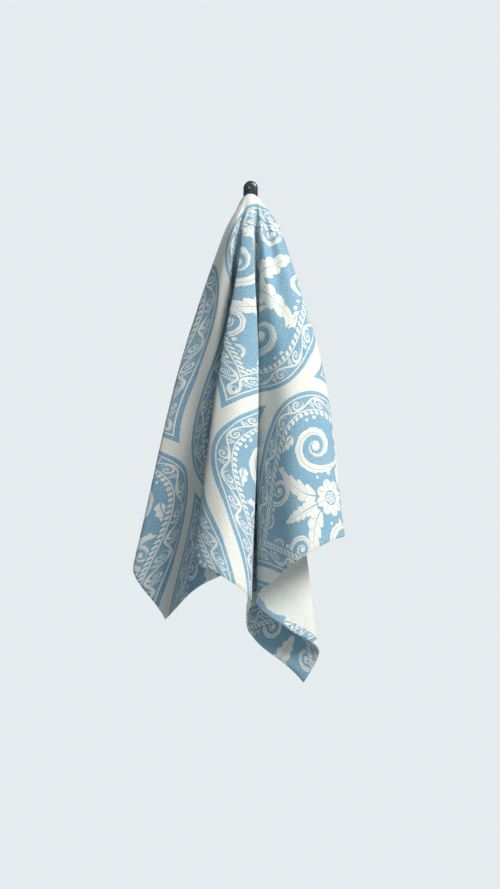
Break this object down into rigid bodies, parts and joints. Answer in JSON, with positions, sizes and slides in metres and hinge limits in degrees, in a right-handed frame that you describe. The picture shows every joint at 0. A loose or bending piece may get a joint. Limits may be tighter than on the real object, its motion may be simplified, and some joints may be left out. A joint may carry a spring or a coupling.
{
  "type": "tea towel on a wall hook",
  "caption": "a patterned cotton tea towel in soft blue and cream, hung by its middle in loose folds on a small black wall hook",
  "frame": {"origin": "middle of the hook plate's flat back face, on the wall plane", "axes": "+Y points into the wall, +X is to the viewer's right, and the cloth hangs down along -Z"},
  "size_m": [0.2591, 0.1413, 0.6168],
  "materials": {
    "towel_cloth": "fine cotton twill printed on one face, soft and matt",
    "hook_black": "satin black paint",
    "screw_black": "satin black domed screw head"
  },
  "bodies": {
    "root": {"towel": "towel_cloth", "hook_plate": "hook_black", "hook_prong": "hook_black", "hook_screw": "screw_black"}
  },
  "joints": []
}
